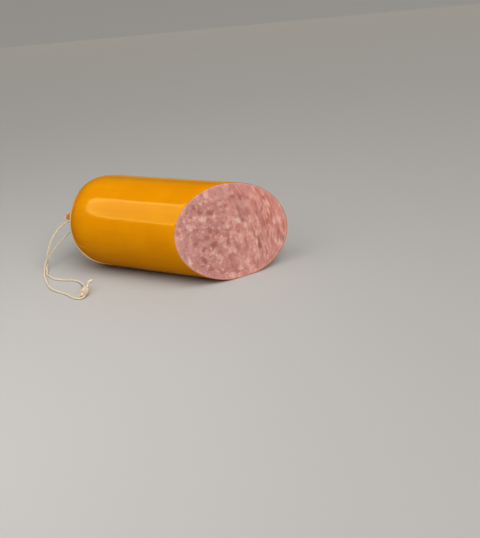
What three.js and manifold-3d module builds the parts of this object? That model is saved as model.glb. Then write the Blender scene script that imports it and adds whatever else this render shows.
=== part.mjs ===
// A length of cured sausage in a smooth plastic casing: one end domed, gathered and tied with twine,
// the other end cut across on a slant. It lies on its side. Millimetres, +Z up, +X towards the cut.
// The origin is under the middle of the sausage, on the surface that it lies on.

import * as THREE from 'three';
import { mergeVertices } from 'three/addons/utils/BufferGeometryUtils.js';
import Module from 'manifold-3d';

const wasm = await Module();
wasm.setup();

// Body
const SAUSAGE_RADIUS = 42.5;
const SAG = 1; // how far the soft underside is pressed flat
const AXIS_HEIGHT = SAUSAGE_RADIUS - SAG;
const SHOULDER_X = -41.6; // where the straight side turns into the domed end
const CUT_X = 76.3; // where the cut crosses the axis
const CUT_TURN = THREE.MathUtils.degToRad(36.1); // the cut face is turned towards -Y by this
const CUT_LEAN = THREE.MathUtils.degToRad(8.1); // and leans back by this
const CASING_WALL = 0.5;
const CLEARANCE = 0.3; // between pieces that touch

// Domed end
const DOME_DEPTH = 43.5;
const DOME_POWER = 1.8; // 1 is an ellipse, and more gives a squarer shoulder
const NECK_PULL = 4; // how far the dome is drawn out where it runs into the neck
const NECK_PULL_WIDTH = 4;

// Gathered neck and tail of the casing
const NECK_RADIUS = 3.4;
const NECK_LENGTH = 6;
const TAIL_LENGTH = 13.2;
const TAIL_RADIUS = 5.6;
const TAIL_PLEATS = 7;
const PLEAT_DEPTH = 0.16;

// Twine
const TWINE_DIAMETER = 1.8;
const BINDING_TURNS = 3;

// Fineness of the round surfaces
const ROUND_STEPS = 60;
const DOME_STEPS = 13;
const SIDE_STEPS = 3;
const TWINE_SIDES = 8;

const NECK_X = SHOULDER_X - DOME_DEPTH - NECK_PULL;
const TAIL_X = NECK_X - NECK_LENGTH;

const casingMaterial = new THREE.MeshStandardMaterial({ color: 0xe08a00, roughness: 0.28, metalness: 0 });
const meatMaterial = new THREE.MeshStandardMaterial({ color: 0xbf8177, roughness: 0.5, metalness: 0 });
const twineMaterial = new THREE.MeshStandardMaterial({ color: 0xd8c49a, roughness: 0.9, metalness: 0 });

// The outline of the domed end, a given depth under the casing's outer surface, as points of radius
// and x from the shoulder to the neck. Radius follows a cosine and depth a power of the sine.
function domeOutline(depth, smallestRadius) {
  const outer = [];
  for (let step = 0; step <= DOME_STEPS; step += 1) {
    const turn = (Math.PI / 2) * (step / DOME_STEPS) ** 1.5;
    const radius = SAUSAGE_RADIUS * Math.cos(turn);
    const pull = NECK_PULL * Math.exp(-Math.max(radius - NECK_RADIUS, 0) / NECK_PULL_WIDTH);
    outer.push(new THREE.Vector2(radius, SHOULDER_X - DOME_DEPTH * Math.sin(turn) ** (1 / DOME_POWER) - pull));
  }
  const inset = outer.map((point, index) => {
    const before = outer[Math.max(index - 1, 0)];
    const after = outer[Math.min(index + 1, DOME_STEPS)];
    const along = index === 0 ? new THREE.Vector2(0, -1) : after.clone().sub(before).normalize();
    return new THREE.Vector2(point.x + along.y * depth, point.y - along.x * depth);
  });
  return inset.filter((point) => point.x > smallestRadius);
}

// Points along the straight side, from the shoulder to the cut, which is still square here.
function sideOutline(radius) {
  const points = [];
  for (let step = 1; step <= SIDE_STEPS; step += 1) {
    points.push(new THREE.Vector2(radius, SHOULDER_X + ((CUT_X - SHOULDER_X) * step) / SIDE_STEPS));
  }
  return points;
}

// The gathered tail beyond the binding, from its tip back to the neck: a narrow bud.
function tailOutline() {
  const points = [];
  const steps = 9;
  for (let step = 0; step <= steps; step += 1) {
    const along = step / steps;
    const bud = Math.sin(Math.PI * along ** 0.8) ** 0.8 * (TAIL_RADIUS - NECK_RADIUS * along);
    points.push(new THREE.Vector2(bud + NECK_RADIUS * along ** 2, TAIL_X - TAIL_LENGTH * (1 - along)));
  }
  return points;
}

// Turns an outline about the sausage's axis, slants its cut end and presses its underside flat. Each
// outline point has the height that its layer of the underside lies at.
function turnBody(outline, undersides) {
  const geometry = new THREE.LatheGeometry(outline, ROUND_STEPS);
  geometry.rotateZ(-Math.PI / 2);
  geometry.translate(0, 0, AXIS_HEIGHT);
  const position = geometry.attributes.position;
  for (let index = 0; index < position.count; index += 1) {
    let x = position.getX(index);
    let y = position.getY(index);
    let z = position.getZ(index);
    if (x < TAIL_X) {
      const around = Math.atan2(z - AXIS_HEIGHT, y);
      const open = Math.min((TAIL_X - x) / 4, 1);
      const pleat = 1 + PLEAT_DEPTH * open * Math.cos(TAIL_PLEATS * around);
      y *= pleat * (1 - 0.3 * open);
      z = AXIS_HEIGHT + (z - AXIS_HEIGHT) * pleat;
    }
    z = Math.max(z, undersides[index % outline.length]);
    if (x > SHOULDER_X) {
      const plane = y * Math.tan(CUT_TURN) - ((z - AXIS_HEIGHT) * Math.tan(CUT_LEAN)) / Math.cos(CUT_TURN);
      x += (plane * (x - SHOULDER_X)) / (CUT_X - SHOULDER_X);
    }
    position.setXYZ(index, x, y, z);
  }
  return geometry;
}

function piece(name, geometry, material) {
  const mesh = new THREE.Mesh(geometry, material);
  mesh.name = name;
  return mesh;
}

// Casing: a film over the whole sausage, open at the cut and gathered solid at the neck and tail.
function makeCasing() {
  const neckRoot = new THREE.Vector2(NECK_RADIUS, NECK_X);
  const dome = domeOutline(0, NECK_RADIUS + 1).reverse();
  const outer = [...tailOutline(), neckRoot, ...dome, ...sideOutline(SAUSAGE_RADIUS)];
  const innerRadius = SAUSAGE_RADIUS - CASING_WALL;
  const inner = [...sideOutline(innerRadius).reverse(), ...domeOutline(CASING_WALL, 2)];
  const innerTip = new THREE.Vector2(0, inner.at(-1).y - 0.6);
  const undersides = [...outer.map(() => 0), ...inner.map(() => CASING_WALL), CASING_WALL];
  return piece('casing', turnBody([...outer, ...inner, innerTip], undersides), casingMaterial);
}

// Filling: one solid of sausage meat, just inside the film.
function makeFilling() {
  const depth = CASING_WALL + CLEARANCE;
  const side = sideOutline(SAUSAGE_RADIUS - depth);
  const dome = domeOutline(depth, 4).reverse();
  const tip = new THREE.Vector2(0, dome[0].y - 0.6);
  const outline = [tip, ...dome, ...side, new THREE.Vector2(0, CUT_X)];
  return piece('filling', turnBody(outline, outline.map(() => depth)), meatMaterial);
}

// A closed mesh as a solid for joining, and a joined solid back as a mesh.
function toSolid(geometry) {
  const bare = geometry.clone();
  bare.deleteAttribute('normal');
  bare.deleteAttribute('uv');
  const merged = mergeVertices(bare, 1e-4);
  const vertProperties = new Float32Array(merged.attributes.position.array);
  const triVerts = new Uint32Array(merged.index.array);
  return new wasm.Manifold(new wasm.Mesh({ numProp: 3, vertProperties, triVerts }));
}

function toGeometry(solid) {
  const mesh = solid.getMesh();
  const geometry = new THREE.BufferGeometry();
  geometry.setAttribute('position', new THREE.BufferAttribute(new Float32Array(mesh.vertProperties), 3));
  geometry.setIndex(new THREE.BufferAttribute(new Uint32Array(mesh.triVerts), 1));
  geometry.computeVertexNormals();
  return geometry;
}

// A smooth lump at a place, with its own half sizes, turned about the vertical.
function lump(centre, halfSizes, heading) {
  const geometry = new THREE.SphereGeometry(1, 18, 12);
  geometry.rotateX(Math.PI / 2);
  geometry.scale(...halfSizes);
  geometry.rotateZ(heading);
  geometry.translate(...centre);
  return geometry;
}

// Twine along a smooth curve through its points.
function twine(points, steps) {
  const section = new THREE.Shape();
  for (let side = 0; side < TWINE_SIDES; side += 1) {
    const turn = (2 * Math.PI * side) / TWINE_SIDES;
    const corner = [(TWINE_DIAMETER / 2) * Math.cos(turn), (TWINE_DIAMETER / 2) * Math.sin(turn)];
    if (side === 0) section.moveTo(...corner);
    else section.lineTo(...corner);
  }
  const path = new THREE.CatmullRomCurve3(points.map((point) => new THREE.Vector3(...point)));
  return new THREE.ExtrudeGeometry(section, { steps, extrudePath: path, curveSegments: 1 });
}

// Neck binding: three turns of twine pulled tight round the gathered neck, tied off in a small knot.
const TIE_KNOT = [NECK_X - NECK_LENGTH / 2, -5.6, AXIS_HEIGHT - 2.4];

function makeNeckBinding() {
  const inside = NECK_RADIUS + CLEARANCE;
  const start = NECK_X - NECK_LENGTH / 2 - (BINDING_TURNS * TWINE_DIAMETER) / 2;
  const outline = [new THREE.Vector2(inside, start)];
  const stepsPerTurn = 4;
  for (let step = 1; step < BINDING_TURNS * stepsPerTurn; step += 1) {
    const crown = Math.abs(Math.sin((Math.PI * step) / stepsPerTurn));
    const across = start + (step * TWINE_DIAMETER) / stepsPerTurn;
    outline.push(new THREE.Vector2(inside + TWINE_DIAMETER * (0.55 + 0.45 * crown), across));
  }
  outline.push(new THREE.Vector2(inside, start + BINDING_TURNS * TWINE_DIAMETER));
  outline.push(outline[0].clone());
  const ring = new THREE.LatheGeometry(outline, 28);
  ring.rotateZ(-Math.PI / 2);
  ring.translate(0, 0, AXIS_HEIGHT);
  const joined = toSolid(ring).add(toSolid(lump(TIE_KNOT, [2.2, 1.9, 2.4], 0)));
  return piece('neck_binding', toGeometry(joined), twineMaterial);
}

// Hanging loop: both ends of the twine leave the tie, droop to the surface and lie there, up to the
// knot that joins them.
const UPPER_STRAND = [
  [-93.3, -8.1, 40.8], [-95.6, -9.9, 41.0], [-98.7, -12.8, 39.6], [-101.6, -19.4, 36.9],
  [-104.3, -25.6, 31.9], [-106.5, -31.1, 24.7], [-108.4, -34.7, 17.1], [-110.2, -37.9, 8.6],
  [-110.9, -40.3, 3.3], [-109.4, -43.4, 1.1], [-105.8, -47.5, 0.95], [-101.9, -51.6, 0.95],
  [-94.4, -58.2, 0.95], [-81.8, -68.2, 0.95], [-69.8, -73.4, 0.95], [-59.8, -75.0, 0.95],
  [-50.6, -77.8, 0.95], [-45.8, -79.5, 0.95], [-42.0, -80.2, 0.95], [-38.6, -79.9, 1.0],
  [-36.0, -78.2, 1.4],
];
const LOWER_STRAND = [
  [-92.1, -7.2, 36.0], [-94.2, -8.7, 33.5], [-97.4, -11.0, 30.2], [-101.2, -17.6, 25.4],
  [-104.6, -24.2, 20.6], [-107.3, -29.9, 16.4], [-108.9, -33.9, 12.6], [-110.3, -35.6, 8.2],
  [-110.4, -37.8, 3.7], [-108.3, -40.7, 1.2], [-103.1, -46.4, 0.95], [-96.6, -50.4, 0.95],
  [-87.5, -53.1, 0.95], [-75.4, -51.8, 0.95], [-66.2, -50.8, 0.95], [-60.3, -51.9, 1.1],
  [-52.6, -56.6, 2.4], [-46.4, -61.8, 4.2], [-41.0, -66.6, 5.8],
];

// Loop knot: the two strands meet end to end in a reef knot, each with a short tail beside it.
const LOOP_KNOT = [-37.8, -72.3, 4.0];
const LOOP_KNOT_HALF_SIZES = [4.9, 4.0, 3.9];
const LOOP_KNOT_HEADING = THREE.MathUtils.degToRad(95);
const KNOT_TAILS = [
  [[-38.0, -68.6, 6.0], [-38.8, -65.5, 7.6], [-38.5, -63.7, 9.0], [-38.0, -62.1, 9.6], [-37.1, -60.4, 9.4]],
  [[-38.4, -74.8, 2.8], [-39.2, -76.6, 1.6], [-40.4, -76.9, 1.0], [-41.6, -76.0, 1.0]],
];

function makeLoopKnot() {
  let solid = toSolid(lump(LOOP_KNOT, LOOP_KNOT_HALF_SIZES, LOOP_KNOT_HEADING));
  for (const tail of KNOT_TAILS) {
    solid = solid.add(toSolid(twine(tail, 8)));
  }
  return piece('loop_knot', toGeometry(solid), twineMaterial);
}

const sausage = new THREE.Group();
sausage.add(makeFilling());
sausage.add(makeCasing());
sausage.add(makeNeckBinding());
sausage.add(piece('upper_strand', twine(UPPER_STRAND, 50), twineMaterial));
sausage.add(piece('lower_strand', twine(LOWER_STRAND, 44), twineMaterial));
sausage.add(makeLoopKnot());

export default sausage;
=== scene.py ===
import math

import bpy
import numpy as np
from mathutils import Matrix


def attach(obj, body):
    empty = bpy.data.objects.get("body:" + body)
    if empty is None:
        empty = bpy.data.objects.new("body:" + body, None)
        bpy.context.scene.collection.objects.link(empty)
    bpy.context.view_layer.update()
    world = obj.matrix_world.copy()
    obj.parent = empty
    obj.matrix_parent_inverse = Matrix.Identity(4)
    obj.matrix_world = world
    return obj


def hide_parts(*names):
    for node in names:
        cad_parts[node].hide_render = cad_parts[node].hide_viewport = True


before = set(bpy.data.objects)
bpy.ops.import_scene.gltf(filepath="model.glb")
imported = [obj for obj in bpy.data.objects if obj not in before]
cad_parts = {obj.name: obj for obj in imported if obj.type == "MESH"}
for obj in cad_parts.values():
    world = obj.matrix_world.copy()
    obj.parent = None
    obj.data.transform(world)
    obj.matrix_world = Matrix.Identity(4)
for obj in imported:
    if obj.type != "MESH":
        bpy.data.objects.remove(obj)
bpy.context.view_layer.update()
scene = bpy.context.scene
scene.view_settings.view_transform = "Standard"

# ---------------------------------------------------------------------------------------------
# Camera. A short telephoto lens a little over half a metre up and to the right of the cut end,
# looking down along the sausage, with the camera rolled a few degrees.
CAMERA_PLACE = (0.3955, -0.5312, 0.2888)
CAMERA_HEADING = math.radians(-30.78)  # from +Y towards +X
CAMERA_DROP = math.radians(24.54)  # below the horizontal
CAMERA_ROLL = math.radians(-6.97)
CAMERA_LENS = 52.0

forward = np.array([
    math.sin(CAMERA_HEADING) * math.cos(CAMERA_DROP),
    math.cos(CAMERA_HEADING) * math.cos(CAMERA_DROP),
    -math.sin(CAMERA_DROP),
])
level = np.array([math.cos(CAMERA_HEADING), -math.sin(CAMERA_HEADING), 0.0])
upright = np.cross(level, forward)
camera_right = level * math.cos(CAMERA_ROLL) + upright * math.sin(CAMERA_ROLL)
camera_up = upright * math.cos(CAMERA_ROLL) - level * math.sin(CAMERA_ROLL)
camera = bpy.data.objects.new("camera", bpy.data.cameras.new("camera"))
camera.data.lens = CAMERA_LENS
camera.data.clip_start = 0.01
camera.matrix_world = Matrix.Translation(CAMERA_PLACE) @ Matrix(
    np.stack([camera_right, camera_up, -forward], axis=1).tolist()
).to_4x4()
scene.collection.objects.link(camera)
scene.camera = camera

# ---------------------------------------------------------------------------------------------
# Hanging loop. Natural cotton twine of three twisted plies, both ends led out of the tie on the
# neck. The two strands spring out, droop to the surface side by side and lie there up to a knot.
MM = 0.001
TWINE_DIAMETER = 1.8 * MM
TWINE_TURN = 5.0 * MM  # the length in which a ply goes once round
PLY_RADIUS = 0.60  # of the twine's own radius
PLY_OFFSET = 0.45
TWINE_STEP = 0.25 * MM
TWINE_SIDES = 27
HAIR_WIDTH = 0.035 * MM
UPPER_STRAND = [
    (-93.3, -8.1, 40.8), (-95.6, -9.9, 41.0), (-98.7, -12.8, 39.6), (-101.6, -19.4, 36.9),
    (-104.3, -25.6, 31.9), (-106.5, -31.1, 24.7), (-108.4, -34.7, 17.1), (-110.2, -37.9, 8.6),
    (-110.9, -40.3, 3.3), (-109.4, -43.4, 1.1), (-105.8, -47.5, 0.95), (-101.9, -51.6, 0.95),
    (-94.4, -58.2, 0.95), (-81.8, -68.2, 0.95), (-69.8, -73.4, 0.95), (-59.8, -75.0, 0.95),
    (-50.6, -77.8, 0.95), (-45.8, -79.5, 0.95), (-42.0, -80.2, 0.95), (-38.6, -79.9, 1.0),
    (-36.0, -78.2, 1.4),
]
LOWER_STRAND = [
    (-92.1, -7.2, 36.0), (-94.2, -8.7, 33.5), (-97.4, -11.0, 30.2), (-101.2, -17.6, 25.4),
    (-104.6, -24.2, 20.6), (-107.3, -29.9, 16.4), (-108.9, -33.9, 12.6), (-110.3, -35.6, 8.2),
    (-110.4, -37.8, 3.7), (-108.3, -40.7, 1.2), (-103.1, -46.4, 0.95), (-96.6, -50.4, 0.95),
    (-87.5, -53.1, 0.95), (-75.4, -51.8, 0.95), (-66.2, -50.8, 0.95), (-60.3, -51.9, 1.1),
    (-52.6, -56.6, 2.4), (-46.4, -61.8, 4.2), (-41.0, -66.6, 5.8),
]
# The strands meet in a barrel knot. The upper one winds up round the knot and goes back down its
# middle; the lower one goes down the middle, turns at the bottom end and comes back out on top.
# Along the knot, across it and up, in twine diameters.
COIL_TURNS = 3.6
COIL_REACH = 1.8
COIL_RADIUS = 1.42
UPPER_THROUGH = [
    (2.25, -0.75, 0.55), (2.2, -0.1, 0.1), (1.4, 0.1, -0.45), (0.0, 0.15, -0.5), (-1.4, 0.3, -0.5),
    (-2.2, 0.65, -0.35),
]
LOWER_THROUGH = [
    (2.5, 0.85, 0.15), (1.6, 0.45, 0.25), (0.0, 0.45, 0.25), (-1.6, 0.5, 0.35), (-2.4, 0.35, 0.75),
    (-2.55, -0.2, 0.8), (-2.2, -0.6, 0.5), (-1.4, -0.45, 0.25), (0.0, -0.45, 0.25),
    (1.5, -0.4, 0.25), (2.4, -0.35, 0.3),
]
KNOT_CENTRE = (-37.8, -72.3, 4.0)
KNOT_HEADING = math.radians(95)
KNOT_PITCH = math.radians(25)
KNOT_SCALE = 1.06  # slack twine swells where it is bent so tightly
LOWER_TAIL = [(-38.4, -65.3, 7.6), (-38.1, -63.7, 8.9), (-37.4, -62.0, 9.7), (-36.2, -60.4, 9.5)]
UPPER_TAIL = [(-39.2, -76.6, 1.7), (-40.4, -76.9, 1.1), (-41.6, -76.0, 1.0)]


def smooth_path(points, step):
    """A natural cubic spline through the points, over their chord length, at even steps."""
    points = np.asarray(points, float)
    knots = np.concatenate([[0.0], np.cumsum(np.linalg.norm(np.diff(points, axis=0), axis=1))])
    gaps = np.diff(knots)
    count = len(points)
    middle = np.arange(1, count - 1)
    system = np.eye(count)
    system[middle, middle - 1] = gaps[:-1]
    system[middle, middle] = 2 * (gaps[:-1] + gaps[1:])
    system[middle, middle + 1] = gaps[1:]
    known = np.zeros_like(points)
    known[1:-1] = 6 * np.diff(np.diff(points, axis=0) / gaps[:, None], axis=0)
    bends = np.linalg.solve(system, known)
    places = np.linspace(0, knots[-1], 60 * count)
    span = np.clip(np.searchsorted(knots, places) - 1, 0, count - 2)
    gap = gaps[span][:, None]
    ahead = (knots[span + 1] - places)[:, None]
    behind = (places - knots[span])[:, None]
    fine = (
        bends[span] * ahead**3 / (6 * gap)
        + bends[span + 1] * behind**3 / (6 * gap)
        + (points[span] / gap - bends[span] * gap / 6) * ahead
        + (points[span + 1] / gap - bends[span + 1] * gap / 6) * behind
    )
    reached = np.concatenate([[0.0], np.cumsum(np.linalg.norm(np.diff(fine, axis=0), axis=1))])
    even = np.linspace(0, reached[-1], int(round(reached[-1] / step)) + 1)
    return np.stack([np.interp(even, reached, fine[:, axis]) for axis in range(3)], axis=1)


def frames_along(path):
    """Unit directions along a path and two across it, carried along with the least turning."""
    along = np.gradient(path, axis=0)
    along /= np.linalg.norm(along, axis=1)[:, None]
    first = np.cross(along[0], [0.31, 0.2, 0.93])
    across = np.empty_like(along)
    across[0] = first / np.linalg.norm(first)
    for ring in range(1, len(along)):
        carried = across[ring - 1] - along[ring] * (across[ring - 1] @ along[ring])
        across[ring] = carried / np.linalg.norm(carried)
    return along, across, np.cross(along, across)


def grid_faces(rows, columns):
    """Four-cornered faces over rows of points closed round, with each corner's row and column."""
    row, column = np.meshgrid(np.arange(rows - 1), np.arange(columns), indexing="ij")
    corner_row = np.stack([row, row, row + 1, row + 1], axis=-1).reshape(-1, 4)
    corner_column = np.stack([column, column + 1, column + 1, column], axis=-1).reshape(-1, 4)
    return corner_row * columns + corner_column % columns, corner_row, corner_column


def place_mesh(name, vertices, faces, uvs=None):
    """A smooth-shaded mesh object from arrays, with a UV map given per face corner."""
    mesh = bpy.data.meshes.new(name)
    mesh.from_pydata(vertices.tolist(), [], faces)
    if uvs is not None:
        layer = mesh.uv_layers.new(name="UVMap")
        layer.data.foreach_set("uv", uvs.astype(np.float32).ravel())
    mesh.polygons.foreach_set("use_smooth", np.ones(len(mesh.polygons), bool))
    mesh.update()
    piece = bpy.data.objects.new(name, mesh)
    scene.collection.objects.link(piece)
    return piece


def twine_rings(path, phase=0.0, swell=None):
    """Three round plies laid together: the radius at an angle is that of the nearest ply's circle
    seen from the twine's middle, and the plies turn steadily along the path. Swell is a factor for
    each point of the path that makes the twine thicker or thinner there."""
    along, side, top = frames_along(path)
    reached = np.concatenate([[0.0], np.cumsum(np.linalg.norm(np.diff(path, axis=0), axis=1))])
    turn = np.linspace(0, 2 * np.pi, TWINE_SIDES, endpoint=False)
    twist = reached / TWINE_TURN * 2 * np.pi + phase
    lobe = (turn[None] - twist[:, None]) % (2 * np.pi / 3) - np.pi / 3
    unit = PLY_OFFSET * np.cos(lobe) + np.sqrt(PLY_RADIUS**2 - (PLY_OFFSET * np.sin(lobe)) ** 2)
    if swell is not None:
        unit = unit * swell[:, None]
    ring = np.cos(turn)[None, :, None] * side[:, None] + np.sin(turn)[None, :, None] * top[:, None]
    points = path[:, None] + TWINE_DIAMETER / 2 * unit[..., None] * ring
    points[..., 2] = np.maximum(points[..., 2], 0)  # none of it sinks into the surface
    return points


def add_hairs(rings, count, seed, longest=1.5 * MM, lift=0.6):
    """Loose fibres: each starts on the surface, leans along the twine and out from it, and bends.
    Each is a thin three-sided spike of four lengths. Returns its vertices and faces."""
    draw = np.random.default_rng(seed)
    row = draw.integers(1, len(rings) - 1, count)
    column = draw.integers(0, rings.shape[1], count)
    start = rings[row, column]
    out = start - rings[row].mean(1)
    out /= np.linalg.norm(out, axis=1)[:, None]
    along = rings[row + 1].mean(1) - rings[row - 1].mean(1)
    along /= np.linalg.norm(along, axis=1)[:, None]
    along *= draw.choice([-1.0, 1.0], count)[:, None]
    aside = np.cross(along, out)
    length = longest * draw.uniform(0.25, 1.0, count) ** 1.6
    grow = np.linspace(0, 1, 5)
    rise = (lift * draw.uniform(0.3, 1.3, count))[:, None] * (grow - 0.45 * grow**2)
    curl = draw.normal(0, 0.35, count)[:, None]
    tilt = draw.normal(0, 0.3, count)[:, None]
    sway = curl * grow**2 + tilt * grow
    line = start[:, None] - 0.05 * MM * out[:, None] + length[:, None, None] * (
        grow[None, :, None] * 0.8 * along[:, None]
        + rise[..., None] * out[:, None]
        + sway[..., None] * aside[:, None]
    )
    corner = np.arange(3) * 2 * np.pi / 3
    section = np.cos(corner)[:, None] * out[:, None] + np.sin(corner)[:, None] * aside[:, None]
    thin = HAIR_WIDTH / 2 * (1 - 0.85 * grow)
    points = line[:, :, None] + thin[None, :, None, None] * section[:, None]
    points[..., 2] = np.maximum(points[..., 2], 0.02 * MM)
    faces, _, _ = grid_faces(5, 3)
    first_point = 15 * np.arange(count)[:, None, None]
    return points.reshape(-1, 3), (faces[None] + first_point).reshape(-1, 4)


def twine_mesh(name, rings, hair_count, seed, close=(True, True)):
    """The twine's surface with its hairs, both in one mesh: the UV map runs six across the way
    round and one for each millimetre along."""
    rows, columns = rings.shape[:2]
    faces, corner_row, corner_column = grid_faces(rows, columns)
    uvs = np.stack([corner_column * 6.0 / columns, corner_row * TWINE_STEP / MM], axis=-1)
    vertices = [rings.reshape(-1, 3)]
    every_face = faces.tolist()
    uvs = [uvs.reshape(-1, 2)]
    count = rows * columns
    ring = np.arange(columns)
    for row, shut in zip((0, rows - 1), close):
        if not shut:
            continue
        edge = row * columns + ring
        after = row * columns + (ring + 1) % columns
        order = [after, edge] if row == 0 else [edge, after]
        vertices.append(rings[row].mean(0)[None])
        every_face += np.stack([*order, np.full(columns, count)], axis=1).tolist()
        count += 1
        fan_across = np.repeat(ring * 6.0 / columns, 3)
        uvs.append(np.stack([fan_across, np.full(3 * columns, row * 0.25)], axis=-1))
    hair_points, hair_faces = add_hairs(rings, hair_count, seed)
    every_face += (hair_faces + count).tolist()
    vertices.append(hair_points)
    hair_uv = np.random.default_rng(seed).uniform(0, 40, (len(hair_faces), 1, 2))
    uvs.append(np.broadcast_to(hair_uv, (len(hair_faces), 4, 2)).reshape(-1, 2))
    return place_mesh(name, np.concatenate(vertices), every_face, np.concatenate(uvs))


def settle_twine(path, seed, sway=0.08 * MM):
    """Small uneven wanders added to a path: a few slow sines across it, fading in at its start."""
    draw = np.random.default_rng(seed)
    along, side, top = frames_along(path)
    reached = np.concatenate([[0.0], np.cumsum(np.linalg.norm(np.diff(path, axis=0), axis=1))])
    fade = np.minimum(reached / (8 * MM), 1)[:, None]
    wander = np.zeros_like(path)
    for wave_length in (23 * MM, 13 * MM, 7 * MM):
        start = draw.uniform(0, 2 * np.pi, 2)
        wave = reached[:, None] / wave_length * 2 * np.pi + start
        wander += np.sin(wave[:, :1]) * side + np.sin(wave[:, 1:]) * top
    moved = path + sway * fade * wander
    moved[:, 2] = np.maximum(moved[:, 2], TWINE_DIAMETER / 2)
    return moved


def add_fibre_group():
    """A shader group for spun cotton: fibres as noise drawn out along the ply, slightly slanted,
    giving a colour between two tones and a height."""
    group = bpy.data.node_groups.new("spun_fibres", "ShaderNodeTree")
    face = group.interface
    face.new_socket("Light Tone", in_out="INPUT", socket_type="NodeSocketColor")
    face.new_socket("Dark Tone", in_out="INPUT", socket_type="NodeSocketColor")
    face.new_socket("Slant", in_out="INPUT", socket_type="NodeSocketFloat")
    face.new_socket("Color", in_out="OUTPUT", socket_type="NodeSocketColor")
    face.new_socket("Height", in_out="OUTPUT", socket_type="NodeSocketFloat")
    nodes, links = group.nodes, group.links
    entry = nodes.new("NodeGroupInput")
    leave = nodes.new("NodeGroupOutput")
    uv = nodes.new("ShaderNodeUVMap")
    uv.uv_map = "UVMap"
    parts = nodes.new("ShaderNodeSeparateXYZ")
    slide = nodes.new("ShaderNodeMath")
    slide.operation = "MULTIPLY_ADD"
    joined = nodes.new("ShaderNodeCombineXYZ")
    stretch = nodes.new("ShaderNodeMapping")
    stretch.inputs["Scale"].default_value = (1.0, 0.12, 1.0)
    fibres = nodes.new("ShaderNodeTexNoise")
    fibres.inputs["Scale"].default_value = 9.0
    fibres.inputs["Detail"].default_value = 5.0
    fibres.inputs["Roughness"].default_value = 0.65
    blotch = nodes.new("ShaderNodeTexNoise")
    blotch.inputs["Scale"].default_value = 0.35
    blotch.inputs["Detail"].default_value = 2.0
    blend = nodes.new("ShaderNodeMath")
    blend.operation = "MULTIPLY_ADD"
    blend.inputs[1].default_value = 0.6
    ramp = nodes.new("ShaderNodeMapRange")
    ramp.inputs["From Min"].default_value = 0.55
    ramp.inputs["From Max"].default_value = 1.0
    tones = nodes.new("ShaderNodeMix")
    tones.data_type = "RGBA"
    links.new(uv.outputs["UV"], parts.inputs["Vector"])
    links.new(parts.outputs["Y"], slide.inputs[0])
    links.new(entry.outputs["Slant"], slide.inputs[1])
    links.new(parts.outputs["X"], slide.inputs[2])
    links.new(slide.outputs["Value"], joined.inputs["X"])
    links.new(parts.outputs["Y"], joined.inputs["Y"])
    links.new(joined.outputs["Vector"], stretch.inputs["Vector"])
    links.new(stretch.outputs["Vector"], fibres.inputs["Vector"])
    links.new(parts.outputs["Y"], blotch.inputs["Vector"])
    links.new(blotch.outputs["Fac"], blend.inputs[0])
    links.new(fibres.outputs["Fac"], blend.inputs[2])
    links.new(blend.outputs["Value"], ramp.inputs["Value"])
    links.new(ramp.outputs["Result"], tones.inputs["Factor"])
    links.new(entry.outputs["Dark Tone"], tones.inputs["A"])
    links.new(entry.outputs["Light Tone"], tones.inputs["B"])
    links.new(tones.outputs["Result"], leave.inputs["Color"])
    links.new(fibres.outputs["Fac"], leave.inputs["Height"])
    return group


TWINE_LIGHT = (0.70, 0.61, 0.45, 1.0)
TWINE_DARK = (0.44, 0.34, 0.21, 1.0)
twine_material = bpy.data.materials.new("natural_cotton_twine")
twine_material.use_nodes = True
nodes, links = twine_material.node_tree.nodes, twine_material.node_tree.links
shader = nodes["Principled BSDF"]
shader.inputs["Roughness"].default_value = 0.85
shader.inputs["Sheen Weight"].default_value = 0.3
shader.inputs["Sheen Roughness"].default_value = 0.5
shader.inputs["Specular IOR Level"].default_value = 0.25
fibre = nodes.new("ShaderNodeGroup")
fibre.node_tree = add_fibre_group()
fibre.inputs["Light Tone"].default_value = TWINE_LIGHT
fibre.inputs["Dark Tone"].default_value = TWINE_DARK
fibre.inputs["Slant"].default_value = -1.2
bump = nodes.new("ShaderNodeBump")
bump.inputs["Strength"].default_value = 0.6
bump.inputs["Distance"].default_value = 0.12 * MM
links.new(fibre.outputs["Color"], shader.inputs["Base Color"])
links.new(fibre.outputs["Height"], bump.inputs["Height"])
links.new(bump.outputs["Normal"], shader.inputs["Normal"])

knot_along = np.array([
    math.cos(KNOT_HEADING) * math.cos(KNOT_PITCH),
    math.sin(KNOT_HEADING) * math.cos(KNOT_PITCH),
    math.sin(KNOT_PITCH),
])
knot_across = np.array([-math.sin(KNOT_HEADING), math.cos(KNOT_HEADING), 0.0])
knot_up = np.cross(knot_along, knot_across)


def in_knot(points):
    """Points given along, across and above the knot, in place."""
    scaled = np.array(points) * TWINE_DIAMETER * KNOT_SCALE
    return np.array(KNOT_CENTRE) * MM + scaled @ np.stack([knot_along, knot_across, knot_up])


wound = np.linspace(0, 1, 46)
coil_angle = math.pi - wound * COIL_TURNS * 2 * math.pi
coil_along = COIL_REACH * (2 * wound - 1)
coil_radius = COIL_RADIUS - 0.10 * coil_along**2
coil = np.stack([
    coil_along,
    coil_radius * np.cos(coil_angle),
    coil_radius * np.sin(coil_angle),
], axis=1)


def whole_strand(points, knot_points, tail, seed):
    """A strand, its half of the knot and its tail as one path, and where the knot's part starts."""
    points = np.array(points) * MM
    through = np.concatenate([points, knot_points, np.array(tail) * MM])
    path = settle_twine(smooth_path(through, TWINE_STEP), seed)
    handover = np.argmin(np.linalg.norm(path - points[-1], axis=1))
    return path, handover


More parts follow.
